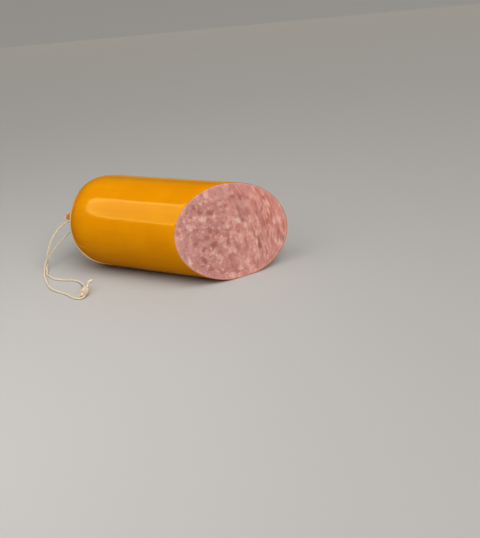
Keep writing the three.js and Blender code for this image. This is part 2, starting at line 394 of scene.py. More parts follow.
def swelling(rows, handover):
    """The twine's thickness along its path: a little fuller through the knot, and much fuller where
    the free end opens, which draws to a blunt tip."""
    row = np.arange(rows)
    left = row[::-1] * TWINE_STEP / MM
    within = np.clip((row - handover) * TWINE_STEP / (3 * MM), 0, 1)
    swell = 1 + (KNOT_SCALE - 1) * within + 0.65 * np.clip((6.5 - left) / 3, 0, 1)
    return swell * (0.35 + 0.65 * np.clip(left / 0.9, 0, 1) ** 0.5)


upper_path, upper_end = whole_strand(
    UPPER_STRAND, in_knot(np.concatenate([coil, UPPER_THROUGH])), UPPER_TAIL, 3,
)
lower_path, lower_end = whole_strand(LOWER_STRAND, in_knot(LOWER_THROUGH), LOWER_TAIL, 8)
upper_rings = twine_rings(upper_path, 0.4, swelling(len(upper_path), upper_end))
lower_rings = twine_rings(lower_path, 1.3, swelling(len(lower_path), lower_end))
upper_strand = twine_mesh("twine_upper_strand", upper_rings[:upper_end + 1], 620, 21, (True, False))
lower_strand = twine_mesh("twine_lower_strand", lower_rings[:lower_end + 1], 540, 22, (True, False))
upper_length = np.linalg.norm(np.diff(upper_path[:upper_end + 1], axis=0), axis=1).sum()
lower_length = np.linalg.norm(np.diff(lower_path[:lower_end + 1], axis=0), axis=1).sum()

# ---------------------------------------------------------------------------------------------
# Loop knot. The two strands meet in a barrel knot drawn tight: one is wound round the doubled
# other, and each leaves a short free end with an opened, fuzzy tip.
knot_parts = [
    twine_mesh("twine_knot_from_upper", upper_rings[upper_end:], 240, 23, (False, True)),
    twine_mesh("twine_knot_from_lower", lower_rings[lower_end:], 260, 24, (False, True)),
]
for piece in knot_parts:
    piece.data.materials.append(twine_material)
    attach(piece, "root")
    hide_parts("loop_knot")
for piece, path, length, node, knot_part in (
    (upper_strand, upper_path[:upper_end + 1], upper_length, "upper_strand", knot_parts[0]),
    (lower_strand, lower_path[:lower_end + 1], lower_length, "lower_strand", knot_parts[1]),
):
    piece.data.materials.append(twine_material)
    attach(piece, "root")
    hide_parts(node)

# ---------------------------------------------------------------------------------------------
# Neck tie. The same twine wound three times round the gathered neck and drawn tight with a small
# overhand knot at the front, where both strands of the loop lead out.
AXIS_HEIGHT = 41.5 * MM
WRAP_RADIUS = 4.5 * MM
WRAP_TURNS = 3
WRAP_START = -90.2 * MM
WRAP_END = -94.0 * MM
TIE_ANGLE = math.radians(203)  # round the axis from +Y towards +Z
TIE_CENTRE = np.array([-92.1, -6.0, 39.0]) * MM
TIE_SIZE = 0.66 * MM

turn = np.linspace(0, 1, 90)
wrap_angle = TIE_ANGLE + math.radians(10) + turn * (WRAP_TURNS * 2 * np.pi - math.radians(20))
wrap = np.stack([
    WRAP_START + (WRAP_END - WRAP_START) * turn,
    WRAP_RADIUS * np.cos(wrap_angle),
    AXIS_HEIGHT + WRAP_RADIUS * np.sin(wrap_angle),
], axis=1)
wrap_path = smooth_path(wrap, TWINE_STEP)
loop = np.linspace(0, 2 * np.pi, 61)[:-1]
trefoil = np.stack([
    np.sin(loop) + 2 * np.sin(2 * loop),
    np.cos(loop) - 2 * np.cos(2 * loop),
    -1.5 * np.sin(3 * loop),
], axis=1) * TIE_SIZE
tie_out = np.array([0.0, math.cos(TIE_ANGLE), math.sin(TIE_ANGLE)])
tie_round = np.array([0.0, -math.sin(TIE_ANGLE), math.cos(TIE_ANGLE)])
tie_path = TIE_CENTRE + trefoil @ np.stack([[1.0, 0, 0], tie_round, tie_out])
tie_path = smooth_path(np.concatenate([tie_path, tie_path[:4]]), TWINE_STEP)
lead_start = TIE_CENTRE - 0.4 * MM * tie_out
lead_paths = [
    smooth_path(np.stack([lead_start, (TIE_CENTRE + path[0]) / 2, *path[:3]]), TWINE_STEP)
    for path in (upper_path, lower_path)
]
tie_parts = [
    twine_mesh("twine_neck_wraps", twine_rings(wrap_path, 0.2), 240, 31),
    twine_mesh("twine_tie_knot", twine_rings(tie_path), 160, 32),
    twine_mesh("twine_lead_upper", twine_rings(lead_paths[0]), 20, 33),
    twine_mesh("twine_lead_lower", twine_rings(lead_paths[1]), 20, 34),
]
for piece in tie_parts:
    piece.data.materials.append(twine_material)
    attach(piece, "root")
    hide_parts("neck_binding")

# ---------------------------------------------------------------------------------------------
# Casing. Glossy orange plastic film stretched over the filling, gathered at the left end into
# radiating pleats, a tied neck and a crumpled tail, and cut through with the meat at the right.
RADIUS = 42.5 * MM
FILM = 0.18 * MM
SHOULDER_X = -41.6 * MM
SETTLE = 0.5 * MM  # how softly the underside flattens
SETTLE_SQUASH = 0.014
CUT_X = 76.3 * MM
CUT_TURN = math.radians(36.1)
CUT_LEAN = math.radians(8.1)
DOME_DEPTH = 43.5 * MM
DOME_POWER = 1.8
NECK_PULL = 4.0 * MM
NECK_RADIUS = 3.4 * MM
NECK_X = -89.1 * MM
NECK_INSET = 1.6 * MM  # what lies inside keeps clear of the pleats near the neck
TAIL_X = -95.0 * MM
TAIL_TIP = -110.2 * MM
TAIL_DROOP = 1.9 * MM
FINE_FOLDS = 19  # pairs round the neck
FINE_FOLD_DEPTH = 0.34 * MM
BROAD_FOLDS = 11
BROAD_FOLD_DEPTH = 0.30 * MM
FOLD_REACH = 11.0 * MM  # how far out from the neck the folds fade, and by how much that varies
FOLD_REACH_VARIES = 6.0 * MM
WAVE_DEPTH = 0.10 * MM
RIPPLE_DEPTH = 0.02 * MM
TAIL_TWIST = 0.9
TAIL_RAGGED = 1.6 * MM
CASING_COLUMNS = 480
DOME_ROWS = 78
SIDE_ROWS = 26
TAIL_ROWS = 38


def lattice_noise(x, y, seed, wrap=0):
    """Smooth random values from -1 to 1 over a unit lattice, eased between its points; with wrap,
    the pattern repeats after that many units of x."""
    table = np.random.default_rng(seed).uniform(-1, 1, (64, 64))
    column = np.floor(x).astype(int)
    row = np.floor(y).astype(int)
    part_x = x - column
    part_y = y - row
    part_x = part_x * part_x * (3 - 2 * part_x)
    part_y = part_y * part_y * (3 - 2 * part_y)
    period = wrap if wrap else 64
    left, right = column % period % 64, (column + 1) % period % 64
    low, high = row % 64, (row + 1) % 64
    return (
        (table[left, low] * (1 - part_x) + table[right, low] * part_x) * (1 - part_y)
        + (table[left, high] * (1 - part_x) + table[right, high] * part_x) * part_y
    )


def dome_outline(rows, first_radius):
    """The left end from the neck to the shoulder: radius R cos t and a depth of sin t to the power
    1 / 1.8, with the film near the neck drawn out by a pull that fades with the radius."""
    last = math.acos(first_radius / RADIUS)
    t = last * np.linspace(1, 0, rows) ** 1.35
    radius = RADIUS * np.cos(t)
    pull = NECK_PULL * np.exp(-np.maximum(radius - NECK_RADIUS, 0) / NECK_PULL)
    return SHOULDER_X - DOME_DEPTH * np.sin(t) ** (1 / DOME_POWER) - pull, radius


def cut_place(y, z):
    """Where the cut is at a height and a side: a plane turned from the axis and leaning back."""
    lean = math.tan(CUT_LEAN) / math.cos(CUT_TURN)
    return CUT_X + y * math.tan(CUT_TURN) - (z - AXIS_HEIGHT) * lean


def rest_on(z, rest_height):
    """The underside settled on the surface: the lower half squashed a little, then half of
    h + sqrt(h squared + s squared) for a height h, less what would lift its lowest line off."""
    below = np.minimum(z - AXIS_HEIGHT, 0)
    h = z - rest_height - below * SETTLE_SQUASH
    lowest = AXIS_HEIGHT - RADIUS * (1 - SETTLE_SQUASH)
    raised = (h + np.sqrt(h * h + SETTLE * SETTLE)) / 2
    return rest_height + np.maximum(raised - (lowest + math.hypot(lowest, SETTLE)) / 2, 0)


def round_section(x, radius, angle, rest_height):
    """Points round the axis, flattened where they rest, with the straight side sheared so that its
    end lies on the cut plane."""
    y = radius * np.cos(angle)
    z = rest_on(AXIS_HEIGHT + radius * np.sin(angle), rest_height)
    along = np.clip((x - SHOULDER_X) / (CUT_X - SHOULDER_X), 0, None)
    return np.stack([x + along * (cut_place(y, z) - CUT_X), y, z], axis=-1)


angle = np.linspace(0, 2 * np.pi, CASING_COLUMNS, endpoint=False)[None]
tail_part = np.linspace(0, 1, TAIL_ROWS)
tail_radius = np.interp(
    tail_part, [0, 0.03, 0.10, 0.18, 0.27, 0.42, 0.68, 0.90, 1],
    np.array([0.6, 1.0, 1.3, 1.9, 2.8, 4.0, 5.0, 4.1, 3.4]) * MM,
)
tail_x = TAIL_TIP + (TAIL_X - TAIL_TIP) * tail_part
neck_x = np.linspace(TAIL_X, NECK_X, 9)[1:-1]
dome_x, dome_radius = dome_outline(DOME_ROWS, NECK_RADIUS + 0.3 * MM)
side_x = np.linspace(SHOULDER_X, CUT_X - 0.2 * MM, SIDE_ROWS)[1:]
rim_x = CUT_X + np.array([-0.05, 0.0, 0.0, -0.05]) * MM
rim_radius = RADIUS - np.array([0.02, 0.06, 0.12, 0.18]) * MM
inside_x, inside_radius = dome_outline(16, NECK_RADIUS + 0.3 * MM)
inside_gap = FILM + NECK_INSET * np.exp(-(inside_radius - NECK_RADIUS) / (12 * MM))
outline_x = np.concatenate([
    tail_x, neck_x, dome_x, side_x, rim_x, np.linspace(CUT_X - 0.4 * MM, SHOULDER_X, 9),
    (inside_x + inside_gap)[::-1][1:],
])
outline_radius = np.concatenate([
    tail_radius, np.full(len(neck_x), NECK_RADIUS), dome_radius, np.full(SIDE_ROWS - 1, RADIUS),
    rim_radius, np.full(9, RADIUS - FILM), (inside_radius - FILM)[::-1][1:],
])
rows = len(outline_x)
outer_rows = TAIL_ROWS + len(neck_x) + DOME_ROWS + SIDE_ROWS - 1
outside = np.arange(rows)[:, None] < outer_rows
in_tail = np.arange(rows)[:, None] < TAIL_ROWS
x_grid = np.broadcast_to(outline_x[:, None], (rows, CASING_COLUMNS))
radius_grid = np.broadcast_to(outline_radius[:, None], (rows, CASING_COLUMNS))
way_round = np.broadcast_to(angle, x_grid.shape)

# Pleats: about forty fine folds and a dozen broad ones run out from the neck and die away.
off_neck = np.maximum(radius_grid - NECK_RADIUS, 0)
wander = 0.35 * lattice_noise(way_round * 9 / np.pi, off_neck / (6 * MM), 5, 18)
fine_phase = FINE_FOLDS * way_round + 1.4 * wander + 0.9 * np.sin(3 * way_round)
fine_fold = 1 - 2 * np.abs(np.sin(fine_phase)) ** 0.8
fine_fold *= np.clip(off_neck / MM + 0.35, 0, 1)
broad_fold = np.sin(BROAD_FOLDS * way_round + 2.2 * wander + 0.7 * np.sin(2 * way_round + 1.0))
broad_fold *= np.clip(off_neck / MM, 0, 1)
reach = FOLD_REACH + FOLD_REACH_VARIES * lattice_noise(way_round * 12 / np.pi, 0 * way_round, 6, 24)
pleats = (
    FINE_FOLD_DEPTH * fine_fold * np.exp(-off_neck / (0.55 * reach))
    + BROAD_FOLD_DEPTH * broad_fold * np.exp(-off_neck / reach)
)
waves = (
    WAVE_DEPTH * lattice_noise(way_round * 4 / np.pi, x_grid / (31 * MM), 7, 8)
    + RIPPLE_DEPTH * lattice_noise(way_round * 15 / np.pi, x_grid / (60 * MM), 8, 30)
)
calm = np.clip((CUT_X - x_grid) / (6 * MM), 0, 1) * np.clip(off_neck / (6 * MM), 0, 1)

# Tail: crumpled by sharp and round folds that turn a little along it, drooping to a ragged tip.
tail_s = np.clip((x_grid - TAIL_TIP) / (TAIL_X - TAIL_TIP), 0, 1)
twist = TAIL_TWIST * tail_s
crumple = (
    0.20 * (1 - 2 * np.abs(np.sin(3.5 * (way_round + twist) + 0.6)) ** 0.7)
    + 0.13 * np.sin(9 * (way_round - 0.6 * twist) + 2 * wander + 1.0)
    + 0.07 * (1 - 2 * np.abs(np.sin(10 * (way_round + 0.4 * twist))))
    + 0.10 * lattice_noise(way_round * 7 / np.pi, tail_s * 6, 12, 14)
)
crumple *= np.sin(np.pi * np.clip(tail_s * 0.92 + 0.08, 0, 1)) ** 0.6
casing_radius = radius_grid + np.where(outside & ~in_tail, pleats + waves * calm, 0)
casing_radius = np.where(in_tail, radius_grid * (1 + crumple), casing_radius)
flat = np.where(in_tail, 1 - 0.30 * (1 - tail_s), 1.0)
casing_grid = round_section(x_grid, casing_radius, way_round, np.where(outside, 0.0, FILM))
casing_grid[..., 1] *= flat
casing_grid[..., 2] -= TAIL_DROOP * (1 - tail_s) ** 1.5
ragged = TAIL_RAGGED * lattice_noise(way_round * 5 / np.pi, 0 * way_round, 14, 10) * (1 - tail_s) ** 2
casing_grid[..., 0] += np.where(in_tail, np.maximum(ragged, 0), 0)


def close_poles(grid, first, last):
    """Vertices and faces of a grid closed round, with a point of its own at each end."""
    rows, columns = grid.shape[:2]
    faces, _, _ = grid_faces(rows, columns)
    ring = np.arange(columns)
    after = (ring + 1) % columns
    end = (rows - 1) * columns
    start_fan = np.stack([after, ring, np.full(columns, rows * columns)], axis=1)
    end_fan = np.stack([end + ring, end + after, np.full(columns, rows * columns + 1)], axis=1)
    vertices = np.concatenate([grid.reshape(-1, 3), [first], [last]])
    return vertices, faces.tolist() + start_fan.tolist() + end_fan.tolist()


vertices, faces = close_poles(casing_grid, casing_grid[0].mean(0), casing_grid[-1].mean(0))
faces = [face[::-1] for face in faces]
casing = place_mesh("casing_film", vertices, faces)


def give_attribute(piece, name, values):
    """A number for each vertex, for the material to read."""
    layer = piece.data.attributes.new(name, "FLOAT", "POINT")
    layer.data.foreach_set("value", np.asarray(values, np.float32).ravel())


# Painted shade: the film is drawn towards a darker red in the valleys of the pleats and of the tail's
# crumples, and by a fixed share on its inner side and cut rim.
pleat_shade = np.clip(-pleats / BROAD_FOLD_DEPTH, 0, 1) * 0.55
fold_shading = np.where(in_tail, np.clip(-crumple * 1.1, 0, 1), pleat_shade)
fold_shading = np.where(outside, fold_shading, 0.3)
# The tail pales towards its cream tip, the film's own colour there; the rest of the tail keeps a 0.28
# share of that tone as painted light, brightening a tail that the dome shades.
pale_tip_and_painted_light = np.where(in_tail, np.clip(1.9 - tail_s * 10, 0.28, 1), 0)
give_attribute(casing, "fold_shade", np.concatenate([fold_shading.ravel(), [0, 0]]))
give_attribute(casing, "pale", np.concatenate([pale_tip_and_painted_light.ravel(), [1, 0]]))

FILM_ORANGE = (0.66, 0.248, 0.0012, 1.0)
FILM_DEEP = (0.58, 0.188, 0.0006, 1.0)
# painted shade for the creases
FILM_FOLD_SHADE = (0.46, 0.105, 0.002, 1.0)
# the tail tip's own pale tone, spread thinly over the rest of the tail as painted light
FILM_PALE_TIP_AND_LIGHT = (0.94, 0.66, 0.20, 1.0)
film_material = bpy.data.materials.new("glossy_orange_film")
film_material.use_nodes = True
nodes, links = film_material.node_tree.nodes, film_material.node_tree.links
shader = nodes["Principled BSDF"]
shader.inputs["IOR"].default_value = 1.5
shader.inputs["Specular IOR Level"].default_value = 0.42
shader.inputs["Specular Tint"].default_value = (0.80, 0.72, 0.09, 1.0)
place = nodes.new("ShaderNodeTexCoord")
stretch = nodes.new("ShaderNodeMapping")
stretch.inputs["Scale"].default_value = (9.0, 260.0, 260.0)
streaks = nodes.new("ShaderNodeTexNoise")
streaks.inputs["Scale"].default_value = 1.0
streaks.inputs["Detail"].default_value = 4.0
streaks.inputs["Roughness"].default_value = 0.6
clouds = nodes.new("ShaderNodeTexNoise")
clouds.inputs["Scale"].default_value = 38.0
clouds.inputs["Detail"].default_value = 3.0
tone = nodes.new("ShaderNodeMath")
tone.operation = "MULTIPLY_ADD"
tone.inputs[1].default_value = 0.5
tone_range = nodes.new("ShaderNodeMapRange")
tone_range.inputs["From Min"].default_value = 0.35
tone_range.inputs["From Max"].default_value = 1.05
film_tones = nodes.new("ShaderNodeMix")
film_tones.data_type = "RGBA"
film_tones.inputs["A"].default_value = FILM_DEEP
film_tones.inputs["B"].default_value = FILM_ORANGE
# Painted shade, darker in the creases.
fold_shade = nodes.new("ShaderNodeAttribute")
fold_shade.attribute_name = "fold_shade"
fold_shade_tones = nodes.new("ShaderNodeMix")
fold_shade_tones.data_type = "RGBA"
fold_shade_tones.inputs["B"].default_value = FILM_FOLD_SHADE
# The pale tail tip, its own colour, with painted light spread thinly over the rest of the tail.
pale = nodes.new("ShaderNodeAttribute")
pale.attribute_name = "pale"
pale_tip_and_light_tones = nodes.new("ShaderNodeMix")
pale_tip_and_light_tones.data_type = "RGBA"
pale_tip_and_light_tones.inputs["B"].default_value = FILM_PALE_TIP_AND_LIGHT
rough = nodes.new("ShaderNodeMapRange")
rough.inputs["From Min"].default_value = 0.3
rough.inputs["From Max"].default_value = 0.7
rough.inputs["To Min"].default_value = 0.08
rough.inputs["To Max"].default_value = 0.12
links.new(place.outputs["Object"], stretch.inputs["Vector"])
links.new(stretch.outputs["Vector"], streaks.inputs["Vector"])
links.new(place.outputs["Object"], clouds.inputs["Vector"])
links.new(streaks.outputs["Fac"], tone.inputs[0])
links.new(clouds.outputs["Fac"], tone.inputs[2])
links.new(tone.outputs["Value"], tone_range.inputs["Value"])
links.new(tone_range.outputs["Result"], film_tones.inputs["Factor"])
links.new(film_tones.outputs["Result"], fold_shade_tones.inputs["A"])
links.new(fold_shade.outputs["Fac"], fold_shade_tones.inputs["Factor"])
links.new(fold_shade_tones.outputs["Result"], pale_tip_and_light_tones.inputs["A"])
links.new(pale.outputs["Fac"], pale_tip_and_light_tones.inputs["Factor"])
links.new(pale_tip_and_light_tones.outputs["Result"], shader.inputs["Base Color"])
links.new(clouds.outputs["Fac"], rough.inputs["Value"])
links.new(rough.outputs["Result"], shader.inputs["Roughness"])
casing.data.materials.append(film_material)
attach(casing, "root")
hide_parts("casing")

# ---------------------------------------------------------------------------------------------
# Filling. Coarse cooked sausage meat: a pale pink bind with darker lean pieces and cream fat,
# sliced across at a slant, the knife having drawn the grain out on the far side of the face.
MEAT_GAP = 0.24 * MM  # inside the casing's outer skin
FACE_BULGE = 0.30 * MM
EDGE_ROUNDING = 0.30 * MM
FACE_COLUMNS = 540
FACE_RINGS = 124
LEAN_SPOTS = [  # across the face, up it, width, height in mm, and strength
    (-15, 21.5, 7.0, 5.5, 0.75), (-24, 24, 4.5, 4.5, 0.8), (-27.5, 29, 3.2, 6.0, 0.7),
    (0, 24, 4.5, 4.0, 0.7), (9, 30, 4.5, 4.5, 0.6), (15.5, 28, 4.5, 4.0, 0.5),
    (36, 22, 4.0, 4.0, 0.6), (-24, 1, 4.5, 5.5, 0.85), (-20, -6.5, 8.0, 6.0, 1.0),
    (-6.5, -8, 4.5, 6.0, 0.75), (-32, -17.5, 6.0, 6.0, 1.0), (-28.5, -26.5, 5.5, 3.5, 0.75),
    (-20, 7, 3.6, 5.5, 0.65), (-36, -2.5, 4.0, 6.0, 0.55), (21, -17, 2.8, 8.5, 0.8),
    (11.5, 8, 3.8, 5.0, 0.55), (-33, 22, 3.6, 4.0, 0.5), (-29, 9.5, 4.2, 4.0, 0.5),
]
FAT_SPOTS = [
    (7, 8.5, 5.0, 5.2, 1.0), (-23, 17.5, 8.0, 3.4, 0.7), (-14, 37, 4.4, 4.2, 0.5),
    (-36.5, 13.5, 5.0, 5.4, 0.6), (-5, 27, 4.0, 4.6, 0.6), (19.5, -14, 3.2, 4.8, 0.7),
    (37.5, -20, 3.0, 7.5, 0.65), (-4, 6.5, 6.6, 4.4, 0.6), (13, 3, 4.2, 5.8, 0.6),
    (-3, -17.5, 4.4, 4.6, 0.55), (18.5, 8, 2.2, 8.0, 0.6), (-45, -16, 3.6, 8.5, 0.9),
    (-5, 32.5, 5.5, 4.0, 0.45), (39.5, -1, 2.6, 5.5, 0.55), (-23, -13.5, 5.0, 3.0, 0.5),
]


def jittered_cells(x, y, seed):
    """The nearest of one jittered point for each unit square: its distance, how much farther the
    second nearest is, and the nearest one's random value."""
    table = np.random.default_rng(seed).uniform(0, 1, (3, 64, 64))
    column = np.floor(x).astype(int)
    row = np.floor(y).astype(int)
    nearest = np.full(x.shape, 9.0)
    second = np.full(x.shape, 9.0)
    value = np.zeros(x.shape)
    for step_x in (-1, 0, 1):
        for step_y in (-1, 0, 1):
            at = ((column + step_x) % 64, (row + step_y) % 64)
            gap = np.hypot(column + step_x + table[0][at] - x, row + step_y + table[1][at] - y)
            closer = gap < nearest
            second = np.where(closer, nearest, np.minimum(second, gap))
            value = np.where(closer, table[2][at], value)
            nearest = np.where(closer, gap, nearest)
    return nearest, second - nearest, value


def spot_mask(across, up, spots, seed):
    """The strongest of a list of soft oval spots with uneven edges."""
    edge = 0.34 * lattice_noise(across / 1.7, up / 2.3, seed)
    edge += 0.2 * lattice_noise(across / 0.7, up / 1.1, seed + 1)
    mask = np.zeros(across.shape)
    for middle_x, middle_y, width, height, strength in spots:
        off = np.hypot((across - middle_x) / width, (up - middle_y) / height) * 2
        soft = np.clip((1.4 - off - edge) / 1.1, 0, 1)
        mask = np.maximum(mask, strength * soft * soft * (3 - 2 * soft))
    return mask


face_angle = np.linspace(0, 2 * np.pi, FACE_COLUMNS, endpoint=False)[None]
share = np.linspace(0, 1, FACE_RINGS + 1)[1:, None]
meat_radius = RADIUS - MEAT_GAP
face_y = share * meat_radius * np.cos(face_angle)
face_z = rest_on(AXIS_HEIGHT + share * meat_radius * np.sin(face_angle), MEAT_GAP)
across = face_y / math.cos(CUT_TURN) / MM
up = (face_z - AXIS_HEIGHT) / math.cos(CUT_LEAN) / MM

# The knife's drag: on the far side the grain is drawn out along arcs that follow the rim. The
# drawn pattern takes over from the plain one from left to right.
drag = np.clip((across + 16) / 50, 0, 1)
drag = drag * drag * (3 - 2 * drag)
bent_x = across + 0.9 * lattice_noise(across / 4.6, up / 4.6, 41)
bent_x += 0.5 * lattice_noise(across / 1.9, up / 1.9, 42)
bent_y = up + 0.9 * lattice_noise(across / 4.6, up / 4.6, 43)
bent_y += 0.5 * lattice_noise(across / 1.9, up / 1.9, 44)
arc_x = across + 0.0035 * up**2 + 0.5 * lattice_noise(across / 3, up / 9, 45)


def mosaic(size, seed, stretch):
    """One value for each cell of a size, plain at the left and drawn out along the arcs at the
    right, and how deep inside its cell each point lies."""
    _, plain_edge, plain = jittered_cells(bent_x / size + 20, bent_y / size + 20, seed)
    drawn_x = arc_x / (0.8 * size) + 30
    drawn_y = bent_y / (stretch * size) + 30
    _, drawn_edge, drawn = jittered_cells(drawn_x, drawn_y, seed + 1)
    plain = (plain - 0.5) * np.clip(plain_edge / 0.3 + 0.25, 0, 1)
    drawn = (drawn - 0.5) * np.clip(drawn_edge / 0.3 + 0.25, 0, 1)
    return plain * (1 - drag) + drawn * drag, plain_edge * (1 - drag) + drawn_edge * drag


big_value, _ = mosaic(4.2, 51, 1.9)
middle_value, middle_edge = mosaic(2.3, 53, 2.6)
small_value, small_edge = mosaic(1.2, 55, 3.4)
lean = spot_mask(across, up, LEAN_SPOTS, 61)
fat = spot_mask(across, up, FAT_SPOTS, 63)
streak = lattice_noise(arc_x / 0.75, up / 13, 71) + 0.6 * lattice_noise(arc_x / 0.38, up / 7, 72)
tone = (
    0.51
    + 0.40 * big_value
    + 0.34 * middle_value
    + 0.22 * small_value
    + (0.05 + 0.06 * drag) * streak
    + 0.17 * lattice_noise(across / 5.5, up / 6.5, 74)
    + 0.08 * np.clip((np.abs(up) - 22) / 14, 0, 1)
    - 0.5 * lean
    + 0.26 * fat
)
fat_level = np.clip(
    0.85 * fat
    + 0.65 * np.clip((middle_value - 0.36) * 8, 0, 1) * (1 - lean)
    + 0.2 * np.clip((small_value - 0.36) * 6, 0, 1) * (1 - lean),
    0, 1,
)
lean_level = np.clip(lean + 0.6 * np.clip((-0.36 - middle_value) * 9, 0, 1) * (1 - fat), 0, 1)
mauve = np.clip(0.45 + 0.9 * lattice_noise(across / 8, up / 9, 75) - (across + 12) / 55, 0, 1)
ruddy = np.clip(0.8 * lattice_noise(across / 7, up / 8, 76) + (across + up - 22) / 45, 0, 1)
rim = np.broadcast_to(share, across.shape)
rim_level = np.clip((rim - 0.955) / 0.03, 0, 1)
# Small air pits: dipped into the face below, and painted dark in the material as painted shade.
pore_pits_and_shade = np.clip(0.10 - jittered_cells(bent_x / 3.1, bent_y / 3.1, 81)[0], 0, 1) / 0.10
relief = (
    0.05 * middle_value
    + 0.06 * np.clip(small_edge * 2.5, 0, 1)
    + 0.07 * np.clip(middle_edge * 2.5, 0, 1)
    + 0.04 * drag * streak
    + 0.12 * lattice_noise(across / 9, up / 9, 91)
    - 0.10 * lean
    + 0.06 * fat
    - 0.35 * pore_pits_and_shade
) * MM * np.clip((1 - rim) / 0.02, 0, 1)
bulge = FACE_BULGE * np.clip(1 - rim**2, 0, 1)
rounding = EDGE_ROUNDING * np.clip((rim - 0.985) / 0.015, 0, 1) ** 2
face_x = cut_place(face_y, face_z) + relief + bulge - rounding
face_points = np.stack([face_x, face_y, face_z], axis=-1)
back_x, back_radius = dome_outline(14, 6 * MM)
back_gap = MEAT_GAP + 1.3 * NECK_INSET * np.exp(-(back_radius - NECK_RADIUS) / (12 * MM))
body_x = np.concatenate([
    [CUT_X - 1.2 * MM], np.linspace(CUT_X - 4 * MM, SHOULDER_X, 7), (back_x + back_gap)[::-1][1:],
])
body_radius = np.concatenate([np.full(8, meat_radius), back_radius[::-1][1:] - MEAT_GAP])
body_points = round_section(
    np.broadcast_to(body_x[:, None], (len(body_x), FACE_COLUMNS)),
    body_radius[:, None], face_angle, MEAT_GAP,
)
meat_grid = np.concatenate([face_points, body_points])
vertices, faces = close_poles(meat_grid, meat_grid[0].mean(0), meat_grid[-1].mean(0))
meat = place_mesh("meat_filling", vertices, faces)
outside_face = np.zeros(len(body_x) * FACE_COLUMNS)
for name, values, rest in (
    ("tone", tone, 0.5), ("fat", fat_level, 0.0), ("lean", lean_level, 0.0),
    ("rim", rim_level, 1.0), ("pore_shade", pore_pits_and_shade, 0.0), ("mauve", mauve, 0.0), ("ruddy", ruddy, 0.0),
):
    give_attribute(meat, name, np.concatenate([values.ravel(), outside_face + rest, [rest, rest]]))

MEAT_DARK = (0.325, 0.110, 0.088, 1.0)
MEAT_MIDDLE = (0.500, 0.208, 0.170, 1.0)
MEAT_PALE = (0.700, 0.385, 0.325, 1.0)
MEAT_LEAN = (0.290, 0.088, 0.070, 1.0)
MEAT_FAT = (0.740, 0.520, 0.430, 1.0)
MEAT_RIM = (0.600, 0.310, 0.300, 1.0)
MEAT_MAUVE = (0.405, 0.192, 0.176, 1.0)
MEAT_RUDDY = (0.600, 0.190, 0.140, 1.0)
meat_material = bpy.data.materials.new("coarse_sausage_meat")
meat_material.use_nodes = True
nodes, links = meat_material.node_tree.nodes, meat_material.node_tree.links
shader = nodes["Principled BSDF"]
shader.inputs["Subsurface Weight"].default_value = 0.12
shader.inputs["Subsurface Radius"].default_value = (1.0, 0.35, 0.25)
shader.inputs["Subsurface Scale"].default_value = 1.5 * MM
shader.inputs["Specular IOR Level"].default_value = 0.4
place = nodes.new("ShaderNodeTexCoord")
grain = nodes.new("ShaderNodeTexNoise")
grain.inputs["Scale"].default_value = 900.0
grain.inputs["Detail"].default_value = 4.0
grain.inputs["Roughness"].default_value = 0.7
tone_in = nodes.new("ShaderNodeAttribute")
tone_in.attribute_name = "tone"
shift = nodes.new("ShaderNodeMath")
shift.operation = "MULTIPLY_ADD"
shift.inputs[1].default_value = 0.36
centre = nodes.new("ShaderNodeMath")
centre.operation = "SUBTRACT"
centre.inputs[1].default_value = 0.18
ramp = nodes.new("ShaderNodeValToRGB")
ramp.color_ramp.elements[0].position = 0.12
ramp.color_ramp.elements[0].color = MEAT_DARK
ramp.color_ramp.elements[1].position = 0.88
ramp.color_ramp.elements[1].color = MEAT_PALE
ramp.color_ramp.elements.new(0.48).color = MEAT_MIDDLE
links.new(place.outputs["Object"], grain.inputs["Vector"])
links.new(grain.outputs["Fac"], shift.inputs[0])
links.new(tone_in.outputs["Fac"], shift.inputs[2])
links.new(shift.outputs["Value"], centre.inputs[0])
links.new(centre.outputs["Value"], ramp.inputs["Fac"])
last = ramp.outputs["Color"]
# Mauve, ruddy, lean, fat and rim are the meat's own colours; the last mix paints shade into the small
# pits.
for name, colour, strength in (
    ("mauve", MEAT_MAUVE, 0.5), ("ruddy", MEAT_RUDDY, 0.3), ("lean", MEAT_LEAN, 0.66),
    ("fat", MEAT_FAT, 0.6), ("rim", MEAT_RIM, 0.5), ("pore_shade", MEAT_DARK, 0.7),
):
    level = nodes.new("ShaderNodeAttribute")
    level.attribute_name = name
    weight = nodes.new("ShaderNodeMath")
    weight.operation = "MULTIPLY"
    weight.inputs[1].default_value = strength
    mixed = nodes.new("ShaderNodeMix")
    mixed.data_type = "RGBA"
    mixed.inputs["B"].default_value = colour
    links.new(level.outputs["Fac"], weight.inputs[0])
    links.new(weight.outputs["Value"], mixed.inputs["Factor"])
    links.new(last, mixed.inputs["A"])
    last = mixed.outputs["Result"]
rough = nodes.new("ShaderNodeMapRange")
rough.inputs["From Min"].default_value = 0.3
rough.inputs["From Max"].default_value = 0.7
rough.inputs["To Min"].default_value = 0.42
rough.inputs["To Max"].default_value = 0.62
bump = nodes.new("ShaderNodeBump")
bump.inputs["Strength"].default_value = 0.5
bump.inputs["Distance"].default_value = 0.15 * MM
links.new(last, shader.inputs["Base Color"])
links.new(grain.outputs["Fac"], rough.inputs["Value"])
links.new(rough.outputs["Result"], shader.inputs["Roughness"])
links.new(grain.outputs["Fac"], bump.inputs["Height"])
links.new(bump.outputs["Normal"], shader.inputs["Normal"])
meat.data.materials.append(meat_material)
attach(meat, "root")
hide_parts("filling")

